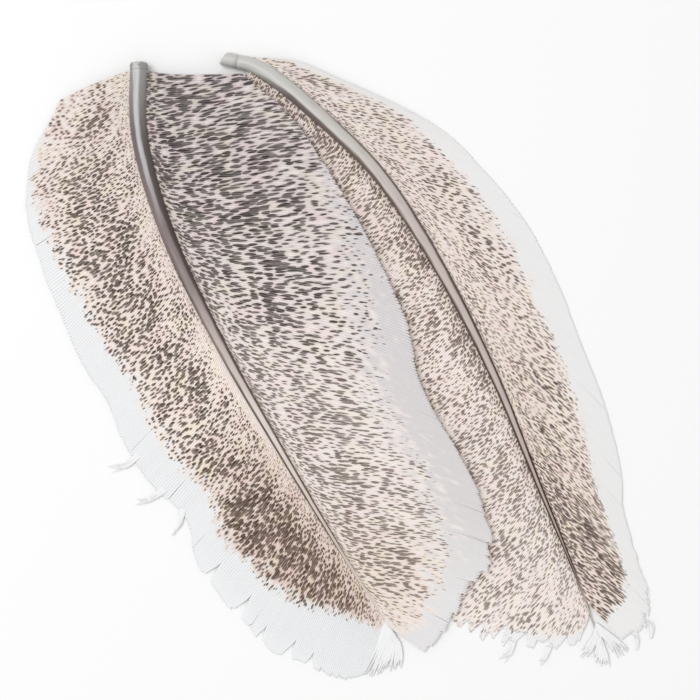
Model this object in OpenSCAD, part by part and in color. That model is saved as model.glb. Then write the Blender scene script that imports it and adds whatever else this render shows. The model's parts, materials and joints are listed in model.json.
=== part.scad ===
// A matched pair of mottled wing quill feathers, the upper one lying partly over the lower one.
// The cut shaft ends point to +Y and the tips to -Y. Both feathers lie on the plane z = 0.

/* [Shafts] */
// Diameter of the upper feather's shaft at its cut end
upper_base_d = 4.4; // [4:0.1:4.8]
// Diameter of the lower feather's shaft at its cut end
lower_base_d = 3.5; // [3.2:0.1:3.8]
// Length of the upper feather's bare hollow barrel
upper_barrel_length = 2; // [1.5:0.5:3]
// Length of the lower feather's bare hollow barrel, along its longer side
lower_barrel_length = 4.5; // [4:0.5:6]
// Slant of the cut across the lower barrel, in degrees
lower_cut_slant = 20; // [0:5:30]
// How far the middle of the upper shaft stands off the table
upper_arch = 3; // [2.5:0.1:3.5]
// How far the middle of the lower shaft stands off the table
lower_arch = 2; // [1:0.1:2.5]
// Share of the shaft's radius taken by its horny wall
wall_share = 0.3; // [0.25:0.01:0.35]

/* [Barbs] */
// Thickness of a vane beside the shaft
root_thickness = 0.5; // [0.4:0.05:0.6]
// Thickness of a vane at its outer edge
edge_thickness = 0.3; // [0.2:0.05:0.35]
// Number of locks that each group of barbs is split into
locks_in_group = 5; // [3:1:6]
// Share of a lock's width lost to the split beside it at the vane's edge
split_share = 0.06; // [0.02:0.01:0.12]
// How far a lock's corners are worn back, as a share of the barb's length
scallop_share = 0.02; // [0:0.01:0.06]

/* [Hidden] */

// Sides of a shaft's section, rings along it, and cells across and along a lock
shaft_sides = 12;
shaft_rings = 36;
lock_columns = 3;
lock_rows = 8;
// Cells along a loose strand, and facets round a barrel's true cylinders
strand_rows = 6;
round_sides = 48;

// A barb's root is sunk this far into the shaft's wall
root_depth = 0.15;
// A barb leaves the shaft this share of the radius above the shaft's middle
root_rise = 0.25;
// Shaft: share of its length that is filled with pith, rings along that share, taper, thinnest radius
pith_share = 0.8;
bore_rings = round(shaft_rings * pith_share);
taper_power = 0.85;
tip_radius = 0.18;
// The shaft swells over this length past the barrel
swell_length = 18;
// A curve's direction is taken between points this far either side
slope_step = 0.5;

// Shift that brings the middle of the pair's outline to the origin
centre_shift = [0.1, 0.8, 0];

// Routes of the shafts seen from above, from the barrel to the tip
upper_route = [[-5.6, 91], [-13.5, 76], [-19, 51], [-20.8, 20], [-20.5, -8], [-19.6, -38], [-18, -66]];
lower_route = [
    [17, 81], [21, 77], [28.2, 59], [34, 39], [35.9, 12], [34.7, -19], [31.5, -46], [28.4, -73], [25, -94]
];

// Guide barbs of each vane: distance of the root along the shaft, then x, y and z of the barb's end
upper_outer_guides = [
    [0, -27, 95, 1], [3, -36, 89, 0.6], [12, -46, 77, 0.3], [25, -50, 66, 0.3], [34, -52, 53, 0.3],
    [47, -54, 34, 0.3], [62, -53, 20, 0.3], [77, -55, 5, 0.3], [91, -50, -11, 0.3], [106, -53, -26, 0.3],
    [119, -49, -44, 0.3], [130, -46, -54, 0.3], [137, -39, -61, 0.3], [146, -34, -67, 0.3],
    [156, -28, -68, 0.3]
];
upper_inner_guides = [
    [0, 16.2, 77.8, 5], [3, 19.2, 73, 5.1], [7, 21.2, 66.5, 5.2], [17, 23, 54, 5.4], [25, 24, 41, 5.4],
    [36, 24, 24, 5.2], [47, 23, 6, 5], [61, 18, -12, 4.6], [77, 18, -27, 4.2], [91, 18, -38, 4],
    [105, 16, -49, 3.4], [117, 13, -57, 2.8], [129, 7, -61, 2.2], [139, -4, -65, 1.6], [148, -10, -70, 1],
    [157, -16, -70, 0.6]
];
lower_outer_guides = [
    [3, 30, 74.5, 1], [6, 39, 65, 0.5], [10, 48, 52.5, 0.3], [17, 54, 39, 0.3], [27, 59, 23, 0.3],
    [39, 61, 3, 0.3], [55, 58, -23, 0.3], [69, 56, -37, 0.3], [86, 52, -53, 0.3], [101, 47, -64, 0.3],
    [119, 44, -77, 0.3], [136, 42, -86, 0.3], [152, 38, -91, 0.3], [162, 32, -92, 0.3], [170, 27, -90, 0.3]
];
lower_inner_guides = [
    [3, 11, 75, 0.3], [10, 10, 66, 0.3], [18, 5, 57, 0.3], [34, 2, 42, 0.3], [51, -2, 24, 0.3],
    [70, -4, 5, 0.3], [88, -4, -15, 0.3], [106, -5, -34, 0.3], [122, -5, -50, 0.3], [133, -5, -66, 0.3],
    [143, 2, -73, 0.3], [152, 8, -80, 0.3], [161, 16, -86, 0.3], [168, 22, -87, 0.3]
];

// Loose strands: route of the strand, its width at the root and its width at the end
upper_tip_strands = [
    [[[-18.4, -58.5, 0.5], [-24, -64, 0.5], [-30, -68.2, 0.3]], 0.6, 2.4],
    [[[-18.2, -61.2, 0.5], [-22.4, -65.6, 0.4], [-27, -69.2, 0.3]], 0.6, 2.4],
    [[[-18.1, -63.3, 0.4], [-20.8, -67, 0.4], [-23.6, -70, 0.3]], 0.5, 2.4],
    [[[-18, -65, 0.4], [-18.6, -68, 0.3], [-19.8, -71, 0.3]], 0.5, 2.2]
];
upper_loose_strands = [
    [[[-52, 7.6, 0.3], [-56.5, 6.6, 0.5], [-61, 8, 0.3]], 1.6, 0.5],
    [[[-50.4, -3, 0.3], [-55, -3.6, 0.6], [-59.6, -2.2, 0.3]], 2, 0.5],
    [[[-49, -9.4, 0.3], [-51.4, -12.4, 0.5], [-54.5, -14, 0.3]], 1.8, 0.5]
];
lower_tip_strands = [
    [[[26.6, -86.2, 0.4], [23.6, -88, 0.4], [20.4, -90, 0.3]], 0.6, 1.8],
    [[[26.3, -88.4, 0.4], [24.2, -90.4, 0.3], [21.8, -92.6, 0.3]], 0.5, 1.8],
    [[[25.9, -90.6, 0.3], [24.8, -92.6, 0.3], [23.4, -94.8, 0.3]], 0.4, 1.4],
    [[[27.2, -84.6, 0.4], [29.2, -89.6, 0.4], [30.6, -94.2, 0.3]], 0.6, 1.6],
    [[[26.8, -87, 0.4], [27.8, -91, 0.3], [28.2, -95.2, 0.3]], 0.6, 1.8],
    [[[26.1, -90, 0.3], [26.2, -92.8, 0.3], [26, -95.8, 0.3]], 0.4, 1.4]
];
lower_loose_strands = [
    [[[38.6, -90, 0.3], [38.8, -92.4, 0.4], [37.4, -94.6, 0.3]], 1.2, 0.4],
    [[[34.8, -91, 0.3], [34.4, -93.2, 0.4], [32.8, -95.4, 0.3]], 1.2, 0.4],
    [[[7, -78.6, 0.3], [4.6, -80.8, 0.5], [1.6, -81.4, 0.3]], 1.4, 0.4],
    [[[14.2, -84, 0.3], [12, -86, 0.5], [9.2, -86.6, 0.3]], 1.4, 0.4]
];

// A feather: route, base radius, swell past the barrel, arch
upper_feather = [upper_route, upper_base_d / 2, 0.06, upper_arch];
lower_feather = [lower_route, lower_base_d / 2, 0.34, lower_arch];

// A vane: feather, side (+1 towards +X), guide barbs, turn of the barbs at the root and at the end
upper_outer_vane = [upper_feather, -1, upper_outer_guides, -25, 2];
upper_inner_vane = [upper_feather, 1, upper_inner_guides, -32, -8];
lower_outer_vane = [lower_feather, 1, lower_outer_guides, -10, -6];
lower_inner_vane = [lower_feather, -1, lower_inner_guides, -30, 0];

// The barbs nearest the barrel and the tip are straight, and take their full turn this far from either
full_turn_distance = 20;
// Part of a split's width that is there at the root
root_split = 0.2;
// Lengths of a barb's handles, as shares of the barb
root_handle = 0.2;
end_handle = 0.35;

// ---- Curves ----

// Running length of a route at each of its points
function running_length(points) = [
    for (i = 0, total = 0; i < len(points);
         total = total + (i + 1 < len(points) ? norm(points[i + 1] - points[i]) : 0), i = i + 1)
        total
];

// The stretch between two knots that holds distance s
function stretch_of(knots, s, i = 0) =
    i + 2 >= len(knots) || s < knots[i + 1] ? i : stretch_of(knots, s, i + 1);

// Slope of a smooth curve at one of its points
function slope_at(points, knots, i) =
    let (before = max(i - 1, 0), after = min(i + 1, len(points) - 1))
    (points[after] - points[before]) / (knots[after] - knots[before]);

// Point at distance s on the smooth curve through the points
function curve_at(points, knots, s) =
    let (
        i = stretch_of(knots, s),
        gap = knots[i + 1] - knots[i],
        f = (s - knots[i]) / gap,
        start_slope = slope_at(points, knots, i) * gap,
        end_slope = slope_at(points, knots, i + 1) * gap
    )
    points[i] * (2 * f ^ 3 - 3 * f ^ 2 + 1) + start_slope * (f ^ 3 - 2 * f ^ 2 + f)
    + points[i + 1] * (3 * f ^ 2 - 2 * f ^ 3) + end_slope * (f ^ 3 - f ^ 2);

// Point on a cubic Bezier curve
function bezier(a, b, c, d, t) =
    a * (1 - t) ^ 3 + b * 3 * t * (1 - t) ^ 2 + c * 3 * t ^ 2 * (1 - t) + d * t ^ 3;

// Unit vector along the plan of a vector
function level(v) = [v.x, v.y, 0] / norm([v.x, v.y]);

// ---- Shafts ----

// Length of the shaft from its barrel to its tip, seen from above
function feather_length(feather) = let (knots = running_length(feather[0])) knots[len(knots) - 1];

// Radius of the shaft at distance s from the end of its barrel
function shaft_radius(feather, s) =
    let (
        left = max(1 - s / feather_length(feather), 0),
        swell = 1 + feather[2] * sin(90 * min(s / swell_length, 1))
    )
    max(feather[1] * swell * left ^ taper_power, tip_radius);

// Middle of the shaft at distance s
function shaft_middle(feather, s) =
    let (
        plan = curve_at(feather[0], running_length(feather[0]), s),
        rise = feather[3] * sin(180 * min(s / feather_length(feather), 1))
    )
    [plan.x, plan.y, max(shaft_radius(feather, s), feather[1] * (1 - s / feather_length(feather))) + rise];

// Direction along the shaft towards its tip, seen from above
function shaft_direction(feather, s) =
    let (
        ahead = shaft_middle(feather, min(s + slope_step, feather_length(feather))),
        behind = shaft_middle(feather, max(s - slope_step, 0))
    )
    level(ahead - behind);

// The direction at right angles to another, seen from above
function side_direction(forward) = [-forward.y, forward.x, 0];

// A ring of points round the shaft at distance s
function shaft_ring(feather, s, share) =
    let (
        middle = shaft_middle(feather, s),
        sideways = side_direction(shaft_direction(feather, s)),
        radius = shaft_radius(feather, s) * share
    )
    [
        for (k = [0:shaft_sides - 1])
            let (angle = 360 * (k + 0.5) / shaft_sides)
            middle + sideways * radius * cos(angle) + [0, 0, radius * sin(angle)]
    ];

// Triangles between rings of points
function band_faces(first, second, sides, flip = false) = [
    for (k = [0:sides - 1])
        let (a = first + k, b = first + (k + 1) % sides, c = second + k, d = second + (k + 1) % sides)
        each (flip ? [[a, b, d], [a, d, c]] : [[a, d, b], [a, c, d]])
];

function cap_faces(first, sides, flip = false) = [
    for (k = [1:sides - 2]) flip ? [first, first + k, first + k + 1] : [first, first + k + 1, first + k]
];

// Rings of points along the bore that the pith fills
function bore_points(feather) =
    let (pith_end = feather_length(feather) * pith_share)
    [for (i = [0:bore_rings]) each shaft_ring(feather, pith_end * i / bore_rings, 1 - wall_share)];

// The shaft's horny wall: a tube as far as the pith goes, and solid beyond it
module shaft(feather) {
    last = feather_length(feather);
    outside = [for (i = [0:shaft_rings]) each shaft_ring(feather, last * i / shaft_rings, 1)];
    bore = len(outside);
    faces = [
        each band_faces(0, bore, shaft_sides),
        for (i = [0:shaft_rings - 1])
            each band_faces(i * shaft_sides, (i + 1) * shaft_sides, shaft_sides, true),
        for (i = [0:bore_rings - 1])
            each band_faces(bore + i * shaft_sides, bore + (i + 1) * shaft_sides, shaft_sides),
        each cap_faces(shaft_rings * shaft_sides, shaft_sides, true),
        each cap_faces(bore + bore_rings * shaft_sides, shaft_sides)
    ];
    polyhedron(concat(outside, bore_points(feather)), faces);
}

// The hollow barrel at the cut end: a true tube that meets the tapered shaft face to face, cut at a slant
module barrel(feather, length, slant) {
    radius = feather[1];
    forward = shaft_direction(feather, 0);
    translate(shaft_middle(feather, 0))
        rotate([0, 0, atan2(-forward.y, -forward.x)])
            rotate([0, 90, 0])
                difference() {
                    cylinder(r = radius, h = length, $fn = round_sides);
                    translate([0, 0, -length / 2])
                        cylinder(r = radius * (1 - wall_share), h = 2 * length, $fn = round_sides);
                    translate([0, radius, length])
                        rotate([slant, 0, 0])
                            translate([-2 * radius, -4 * radius, 0])
                                cube([4 * radius, 8 * radius, 4 * radius]);
                }
}

// The pith fills the bore from its second ring on, and leaves the barrel hollow
module pith(feather) {
    faces = [
        each cap_faces(shaft_sides, shaft_sides),
        for (i = [1:bore_rings - 1])
            each band_faces(i * shaft_sides, (i + 1) * shaft_sides, shaft_sides, true),
        each cap_faces(bore_rings * shaft_sides, shaft_sides, true)
    ];
    polyhedron(bore_points(feather), faces);
}

// ---- Barbs ----

// Point on the barb rooted at distance s along the shaft; t is 0 at its root and 1 at its end
function barb_point(vane, s, t) =
    let (
        feather = vane[0],
        guides = vane[2],
        turn = min(s / full_turn_distance, (feather_length(feather) - s) / full_turn_distance, 1),
        forward = shaft_direction(feather, s),
        sideways = side_direction(forward) * vane[1],
        radius = shaft_radius(feather, s),
        inset = max(radius - root_depth, 0),
        root = shaft_middle(feather, s) + sideways * inset + [0, 0, radius * root_rise],
        end = curve_at([for (g = guides) [g[1], g[2], g[3]]], [for (g = guides) g[0]], s),
        reach = norm(end - root),
        chord = atan2((end - root) * sideways, (end - root) * forward),
        start_angle = chord + vane[3] * turn,
        end_angle = chord + vane[4] * turn,
        start_handle = (forward * cos(start_angle) + sideways * sin(start_angle)) * reach * root_handle,
        finish_handle = (forward * cos(end_angle) + sideways * sin(end_angle)) * reach * end_handle,
        droop = (root.z - end.z) * end_handle
    )
    bezier(root, root + start_handle, end - finish_handle + [0, 0, droop], end, t);

// Faces of a thin sheet whose points are listed row by row, the top rows first and then the bottom rows
function sheet_faces(rows, columns) =
    let (w = columns + 1, under = (rows + 1) * w)
    [
        for (i = [0:rows - 1]) for (j = [0:columns - 1])
            let (a = i * w + j, b = a + 1, c = a + w, d = c + 1)
            each [
                [a, b, d], [a, d, c],
                [under + a, under + d, under + b], [under + a, under + c, under + d]
            ],
        for (i = [0:rows - 1])
            let (a = i * w, c = a + w, b = a + columns, d = b + w)
            each [
                [a, c, under + c], [a, under + c, under + a],
                [b, under + d, d], [b, under + b, under + d]
            ],
        for (j = [0:columns - 1])
            let (a = j, b = j + 1, c = rows * w + j, d = c + 1)
            each [
                [a, under + b, b], [a, under + a, under + b],
                [c, d, under + d], [c, under + d, under + c]
            ]
    ];

// Middle points of one lock of barbs, row by row from the shaft outwards. The lock narrows outwards, most
// of it near the edge, and its corners are worn back.
function lock_grid(vane, from, to) = [
    for (i = [0:lock_rows]) [
        for (j = [0:lock_columns])
            let (
                across = 2 * j / lock_columns - 1,
                reach = 1 - scallop_share * across ^ 2,
                t = reach * i / lock_rows,
                split = split_share * (root_split + (1 - root_split) * t ^ 2),
                width = (to - from) * (1 - split),
                s = (from + to) / 2 + across * width / 2
            )
            barb_point(vane, s, t)
    ]
];

// A thin solid sheet built round a grid of middle points
function sheet_points(grid, start_thickness, end_thickness) =
    let (rows = len(grid) - 1)
    [
        for (side = [1, -1]) for (i = [0:rows])
            let (half = (start_thickness + (end_thickness - start_thickness) * i / rows) / 2)
            for (p = grid[i]) p + [0, 0, side * half]
    ];

// A group of locks along one vane, between two distances along the shaft; each lock is a separate solid
module barb_group(vane, from, to) {
    step = (to - from) / locks_in_group;
    locks = [
        for (k = [0:locks_in_group - 1]) lock_grid(vane, from + k * step, from + (k + 1) * step)
    ];
    sheets(locks, lock_rows, lock_columns, vane[1] > 0);
}

// Several separate thin sheets as one set of solids
module sheets(grids, rows, columns, flip) {
    each_sheet = [for (grid = grids) sheet_points(grid, root_thickness, edge_thickness)];
    base_faces = sheet_faces(rows, columns);
    points = [for (sheet = each_sheet) each sheet];
    faces = [
        for (k = [0:len(grids) - 1]) for (f = base_faces)
            let (shifted = [for (v = f) v + k * len(each_sheet[0])])
            flip ? [shifted[2], shifted[1], shifted[0]] : shifted
    ];
    polyhedron(points, faces);
}

// Middle points of a loose strand along a route of three-dimensional points, tapering to its end
function strand_grid(route, start_width, end_width) =
    let (knots = running_length(route), last = knots[len(knots) - 1])
    [
        for (i = [0:strand_rows])
            let (
                s = last * i / strand_rows,
                ahead = curve_at(route, knots, min(s + slope_step, last)),
                behind = curve_at(route, knots, max(s - slope_step, 0)),
                forward = level(ahead - behind),
                half = (start_width + (end_width - start_width) * i / strand_rows) / 2
            )
            [for (side = [-1, 1]) curve_at(route, knots, s) + side_direction(forward) * side * half]
    ];

// Loose strands, each listed as its route, its width at the root and its width at the end
module strands(list) {
    sheets([for (strand = list) strand_grid(strand[0], strand[1], strand[2])], strand_rows, 1, true);
}

// Puts the middle of the pair's outline at the origin
module centred() {
    translate(centre_shift) children();
}

// ---- Upper feather ----

module upper_barrel() {
    color("silver") centred() barrel(upper_feather, upper_barrel_length, 0);
}

module upper_shaft() {
    color("dimgray") centred() shaft(upper_feather);
}

module upper_pith() {
    color("ivory") centred() pith(upper_feather);
}

module upper_outer_barbs_base() {
    color("bisque") centred() barb_group(upper_outer_vane, 0, 48);
}

module upper_outer_barbs_middle() {
    color("tan") centred() barb_group(upper_outer_vane, 48, 104);
}

module upper_outer_barbs_end() {
    color("rosybrown") centred() barb_group(upper_outer_vane, 104, 154);
}

module upper_inner_barbs_base() {
    color("gray") centred() barb_group(upper_inner_vane, 0, 48);
}

module upper_inner_barbs_middle() {
    color("thistle") centred() barb_group(upper_inner_vane, 48, 104);
}

module upper_inner_barbs_end() {
    color("lavender") centred() barb_group(upper_inner_vane, 104, 154);
}

module upper_tip_barbs() {
    color("gainsboro") centred() strands(upper_tip_strands);
}

module upper_loose_barbs() {
    color("whitesmoke") centred() strands(upper_loose_strands);
}

// ---- Lower feather ----

module lower_barrel() {
    color("silver") centred() barrel(lower_feather, lower_barrel_length, lower_cut_slant);
}

module lower_shaft() {
    color("gray") centred() shaft(lower_feather);
}

module lower_pith() {
    color("ivory") centred() pith(lower_feather);
}

module lower_outer_barbs_base() {
    color("bisque") centred() barb_group(lower_outer_vane, 3, 54);
}

module lower_outer_barbs_middle() {
    color("tan") centred() barb_group(lower_outer_vane, 54, 112);
}

module lower_outer_barbs_end() {
    color("rosybrown") centred() barb_group(lower_outer_vane, 112, 164);
}

module lower_inner_barbs_base() {
    color("linen") centred() barb_group(lower_inner_vane, 3, 59);
}

module lower_inner_barbs_middle() {
    color("mistyrose") centred() barb_group(lower_inner_vane, 59, 116);
}

module lower_inner_barbs_end() {
    color("seashell") centred() barb_group(lower_inner_vane, 116, 167);
}

module lower_tip_barbs() {
    color("gainsboro") centred() strands(lower_tip_strands);
}

module lower_loose_barbs() {
    color("whitesmoke") centred() strands(lower_loose_strands);
}

upper_barrel();
upper_shaft();
upper_pith();
upper_outer_barbs_base();
upper_outer_barbs_middle();
upper_outer_barbs_end();
upper_inner_barbs_base();
upper_inner_barbs_middle();
upper_inner_barbs_end();
upper_tip_barbs();
upper_loose_barbs();
lower_barrel();
lower_shaft();
lower_pith();
lower_outer_barbs_base();
lower_outer_barbs_middle();
lower_outer_barbs_end();
lower_inner_barbs_base();
lower_inner_barbs_middle();
lower_inner_barbs_end();
lower_tip_barbs();
lower_loose_barbs();
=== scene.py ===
import json
import math

import bpy
import numpy as np
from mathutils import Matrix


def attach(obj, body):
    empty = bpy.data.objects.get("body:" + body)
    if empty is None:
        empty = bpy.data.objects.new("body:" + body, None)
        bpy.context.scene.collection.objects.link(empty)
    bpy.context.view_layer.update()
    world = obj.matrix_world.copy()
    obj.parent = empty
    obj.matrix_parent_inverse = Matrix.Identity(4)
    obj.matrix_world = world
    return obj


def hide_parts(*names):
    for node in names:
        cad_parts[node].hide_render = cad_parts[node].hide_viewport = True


# A pair of mottled wing quill feathers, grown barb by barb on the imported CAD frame.
# Lengths are worked out in millimetres and turned into metres as each mesh is made.

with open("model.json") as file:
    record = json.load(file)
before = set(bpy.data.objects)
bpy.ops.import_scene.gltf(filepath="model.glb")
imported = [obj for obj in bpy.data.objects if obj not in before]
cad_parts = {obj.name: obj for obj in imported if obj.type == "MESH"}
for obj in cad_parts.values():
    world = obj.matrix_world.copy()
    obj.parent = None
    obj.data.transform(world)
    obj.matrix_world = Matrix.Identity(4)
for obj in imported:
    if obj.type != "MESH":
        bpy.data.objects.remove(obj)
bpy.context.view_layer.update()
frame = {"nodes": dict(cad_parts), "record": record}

MM = 0.001
GROUPS = ("base", "middle", "end")

# Barbs stand this far apart along the shaft. Their cross-section is a low ridge between two valleys.
BARB_PITCH = 0.52
BARB_COLUMNS = np.array([-0.5, -0.24, 0.24, 0.5])
BARB_HEIGHTS = np.array([0.0, 1.0, 1.0, 0.0])
# Height of the ridge as a share of a barb's width
RIDGE_SHARE = 0.15
SHEET_THICKNESS = 0.1
# The barbs lie this far under the top of the CAD sheets
SHEET_SINK = 0.12
# Rows of points along a barb, and along its free end
BODY_ROWS = 34
TIP_ROWS = 5
# Barbs reach this share past the worn corners of the CAD locks
EDGE_REACH = 0.01
# A split pushes aside about this many barbs on either side
SPLIT_REACH = 7
# About this many barbs hang together at a worn edge
LOCK_BARBS = 11
# The locks' sizes vary over about this many barbs, and the edge's reach over about this many
LOCK_DRIFT = 20
EDGE_DRIFT = 9
# Share by which each barb's reach differs at random from its neighbours'
EDGE_JITTER = 0.1
# Fine splits in each vane, besides the torn ones
HAIRLINES = 6
# A ridge loses this share of its height between these shares of the barb's length
RIDGE_LOSS = 0.93
RIDGE_FADE = (0.4, 0.8)
# A barb's free end narrows by this share, and bends by up to this many barb numbers
TIP_NARROWING = 0.3
TIP_CURL = 0.6
# The vanes rise and fall by this much over about this many barbs
WAVE_HEIGHT = 0.1
WAVE_BARBS = 40
# Start of each vane's random draws
VANE_SEEDS = {"lower_outer": 11, "lower_inner": 12, "upper_outer": 13, "upper_inner": 14}

# Fine barbs in a tip fan and in each wisp, their widths, how far they curl, and their rows of points
FAN_BARBS = 60
FAN_WIDTH = 0.8
FAN_CURL = 0.8
FAN_ROWS = 12
FAN_SEED = 21
WISP_BARBS = 7
WISP_WIDTH = 0.45
WISP_CURL = 1.0
WISP_ROWS = 14
WISP_SEED = 22
# A fine barb narrows by this share towards its end
FINE_NARROWING = 0.75

# A CAD face belongs to a sheet's top when its normal rises by more than this share
TOP_SLOPE = 0.05
# The CAD shaft's corners are this far apart round it, in degrees, and its middles come from this many cuts
CAD_SIDE_ANGLE = 30
SHAFT_CUTS = 40
SHAFT_SIDES = 40
SHAFT_RINGS = 170
# The groove below a shaft: its depth as a share of the radius, and its spread in radians
GROOVE_DEPTH = 0.16
GROOVE_SPREAD = 0.35
# Fine ribs along a shaft: their height as a share of the radius, and how many there are
RIB_HEIGHT = 0.012
RIBS = 20
BARREL_SIDES = 64
# The barrel's bore as a share of its radius, and the unevenness of its cut rim
BORE_SHARE = 0.7
RIM_ROUGHNESS = 0.06
RIM_WAVES = 7

# The camera looks straight down on the pair, turned about the vertical
VIEW_TURN = -29
VIEW_CENTRE = (6.7, 5.6)
VIEW_WIDTH = 175
LENS = 85
SENSOR = 36

# The stage, in metres and watts
FLOOR_HALF = 1.5
FLOOR_GREY = 0.93
ROOM_BRIGHTNESS = 0.63
LAMP_PLACE = (-0.3, 0.35, 1.1)
LAMP_SIZE = 0.9
LAMP_POWER = 7.2

# A spot's radius, in gaps between spots: the least, and its growth with the flecked share of the ground
SMALLEST_SPOT = 0.12
SPOT_GROWTH = 0.62
# Below this flecked share the spots shrink by this much more for each share that is lacking
SPARSE_SHARE = 0.1
SPARSE_LOSS = 4.0
# A spot fades out between these distances inside its radius, and the weakest one is this strong
SPOT_FADE = (-0.1, 0.12)
WEAKEST_SPOT = 0.75
# The ground is this much paler far from the spots, and takes this share of the tints and of the dust
GROUND_PALENESS = 0.45
TINT_SHARE = 0.24
DUST_SHARE = 0.03
# A barb's ridge shows this share of the ground through its flecks, as a painted highlight
RIDGE_HIGHLIGHT = 0.1

# Screen colours that the materials share
GROUND_TINTS = [(0.3, (242, 208, 208)), (0.5, (232, 222, 220)), (0.7, (240, 228, 196))]
PALE_BARB = (252, 246, 243)
DUSTY_BARB = (150, 135, 130)
HORN_BELOW = (196, 186, 176)
HORN_GRAIN = (110, 98, 94)
# The pith's cell hollows are painted darker than their walls, as painted shade
FOAM_HOLLOW_SHADE = (214, 205, 190)
FOAM_WALL = (245, 240, 230)


# ---- Reading the CAD frame ----

def cad_shape(node):
    """Points of a CAD node with doubles merged, and its triangles as point numbers."""
    mesh = frame["nodes"][node].data
    corners = np.empty(3 * len(mesh.vertices))
    mesh.vertices.foreach_get("co", corners)
    rounded = np.round(corners.reshape(-1, 3) / MM, 4)
    points, number = np.unique(rounded, axis=0, return_inverse=True)
    faces = np.array([polygon.vertices[:] for polygon in mesh.polygons])
    return points, number.ravel()[faces]


def mount_of(feather_name):
    """Outward direction and radius of the pin mount at a feather's cut end."""
    mounts = frame["record"]["mounts"]
    mount = next(m for m in mounts if m["name"] == f"{feather_name}_barrel_end")
    axis = np.array(mount["axis"])
    return axis / np.linalg.norm(axis), mount["dims"]["r_mm"]


def nearest_on(route, point):
    """Distance from a point to a route seen from above, and the running length to the place nearest it."""
    start, end = route[:-1, :2], route[1:, :2]
    along = end - start
    length = np.linalg.norm(along, axis=1)
    share = np.clip(np.sum((point[:2] - start) * along, axis=1) / length ** 2, 0, 1)
    distance = np.linalg.norm(start + along * share[:, None] - point[:2], axis=1)
    nearest = distance.argmin()
    return distance[nearest], length[:nearest].sum() + share[nearest] * length[nearest]


def top_outlines(node):
    """Outline of the top of each sheet in a CAD node, and how many top triangles meet at its points."""
    points, triangles = cad_shape(node)
    first, second, third = points[triangles].transpose(1, 0, 2)
    normal = np.cross(second - first, third - first)
    top = triangles[normal[:, 2] > TOP_SLOPE * np.linalg.norm(normal, axis=1)]
    edges = {(int(a), int(b)) for face in top for a, b in zip(face, np.roll(face, -1))}
    following = {a: b for a, b in edges if (b, a) not in edges}
    meeting = np.bincount(top.ravel(), minlength=len(points))
    outlines = []
    while following:
        loop = [min(following)]
        while following[loop[-1]] != loop[0]:
            loop.append(following[loop[-1]])
        for number in loop:
            del following[number]
        outlines.append((points[loop], meeting[loop]))
    return outlines


def sheet_edges(node, route):
    """Both long edges of each sheet in a CAD node, from the root outwards."""
    pairs = []
    for outline, meeting in top_outlines(node):
        # An outline's corners are where only one or two triangles meet, and its ends are its short sides
        corners = np.flatnonzero(meeting <= 2)
        steps = np.diff(np.append(corners, corners[0] + len(outline)))
        turn = corners[0] if steps[0] < steps[1] else corners[1]
        loop = np.roll(outline, -turn, axis=0)
        short, long = sorted(steps[:2])
        near = loop[:short + 1].mean(axis=0)
        far = loop[short + long:2 * short + long + 1].mean(axis=0)
        if nearest_on(route, near)[0] > nearest_on(route, far)[0]:
            loop = np.roll(loop, -(short + long), axis=0)
        one = loop[short:short + long + 1]
        other = np.concatenate([loop[:1], loop[:-long - 1:-1]])
        pairs.append(sorted([one, other], key=lambda edge: nearest_on(route, edge[0])[1]))
    return sorted(pairs, key=lambda pair: nearest_on(route, pair[0][0])[1])


def shaft_route(name):
    """Middle points and radii of a shaft, from its barrel to its tip, found by slicing its CAD solid."""
    points, triangles = cad_shape(f"{name}_shaft")
    outwards, radius = mount_of(name)
    reach = points @ outwards
    first_ring = points[reach > reach.max() - 0.01]
    middles = [first_ring.mean(axis=0)]
    radii = [radius]
    edges = np.concatenate([triangles[:, [0, 1]], triangles[:, [1, 2]], triangles[:, [2, 0]]])
    # A ring's highest point stands half a side off the vertical, which this takes out again
    half_side = math.cos(math.radians(CAD_SIDE_ANGLE / 2))
    for y in np.linspace(first_ring[:, 1].min() - 1, points[:, 1].min() + 0.3, SHAFT_CUTS):
        a, b = points[edges[:, 0]], points[edges[:, 1]]
        crossing = (a[:, 1] - y) * (b[:, 1] - y) < 0
        a, b = a[crossing], b[crossing]
        cut = a + (b - a) * ((y - a[:, 1]) / (b[:, 1] - a[:, 1]))[:, None]
        middles.append((cut.min(axis=0) + cut.max(axis=0)) / 2)
        radii.append(np.ptp(cut[:, 2]) / 2 / half_side)
    return np.array(middles), np.array(radii)


# ---- Curves and noise ----

def smoothstep(value, low, high):
    """0 below low, 1 above high and a smooth rise between them."""
    share = np.clip((value - low) / (high - low), 0, 1)
    return share * share * (3 - 2 * share)


def hump(value, middle, width):
    """1 at the middle and next to nothing two widths away from it."""
    return np.exp(-((value - middle) / width) ** 2)


def blend_weights(place, count):
    """First of the four neighbours of each place on a padded row of values, and their weights."""
    first = np.clip(np.floor(place).astype(int), 0, count - 2)
    f = place - first
    weights = [
        -0.5 * f + f ** 2 - 0.5 * f ** 3,
        1 - 2.5 * f ** 2 + 1.5 * f ** 3,
        0.5 * f + 2 * f ** 2 - 1.5 * f ** 3,
        -0.5 * f ** 2 + 0.5 * f ** 3,
    ]
    return first, weights


def padded(values, axis=0):
    """Values with one more at each end, in line with the last two."""
    values = np.moveaxis(values, axis, 0)
    wide = np.concatenate([[2 * values[0] - values[1]], values, [2 * values[-1] - values[-2]]])
    return np.moveaxis(wide, 0, axis)


def curve_through(values, place):
    """Smooth curve through a row of values; place counts in values."""
    first, weights = blend_weights(np.asarray(place, float), len(values))
    wide = padded(values)
    return sum(w[..., None] * wide[first + k] for k, w in enumerate(weights))


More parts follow.
